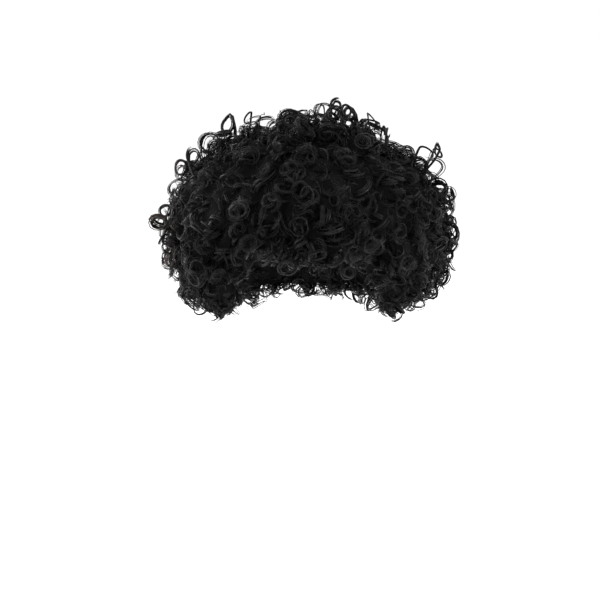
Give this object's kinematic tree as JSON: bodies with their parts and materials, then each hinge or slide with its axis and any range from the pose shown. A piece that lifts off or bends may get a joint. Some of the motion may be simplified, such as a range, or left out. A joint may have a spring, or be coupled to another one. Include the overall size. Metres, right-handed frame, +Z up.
{
  "type": "afro wig",
  "caption": "Full curly afro wig: a stretch net cap with an elastic edge band, covered all over in short springy curls with a fringe.",
  "frame": {"origin": "inside of the cap at its crown, where it meets the top of the head", "axes": "+Z up out of the crown, -Y to the front where the face is, +X to the wearer's left"},
  "size_m": [0.3429, 0.342, 0.2417],
  "materials": {
    "hair": "near-black curled synthetic fibre with a soft sheen",
    "cap_net": "matt stretch net",
    "elastic": "matt knitted elastic"
  },
  "bodies": {
    "root": {"cap": "cap_net", "edge_band": "elastic", "crown_curls": "hair", "curl_row_1": "hair", "curl_row_2": "hair", "curl_row_3": "hair", "curl_row_4": "hair", "curl_row_5": "hair", "curl_row_6": "hair", "curl_row_7": "hair", "curl_row_8": "hair"}
  },
  "joints": []
}
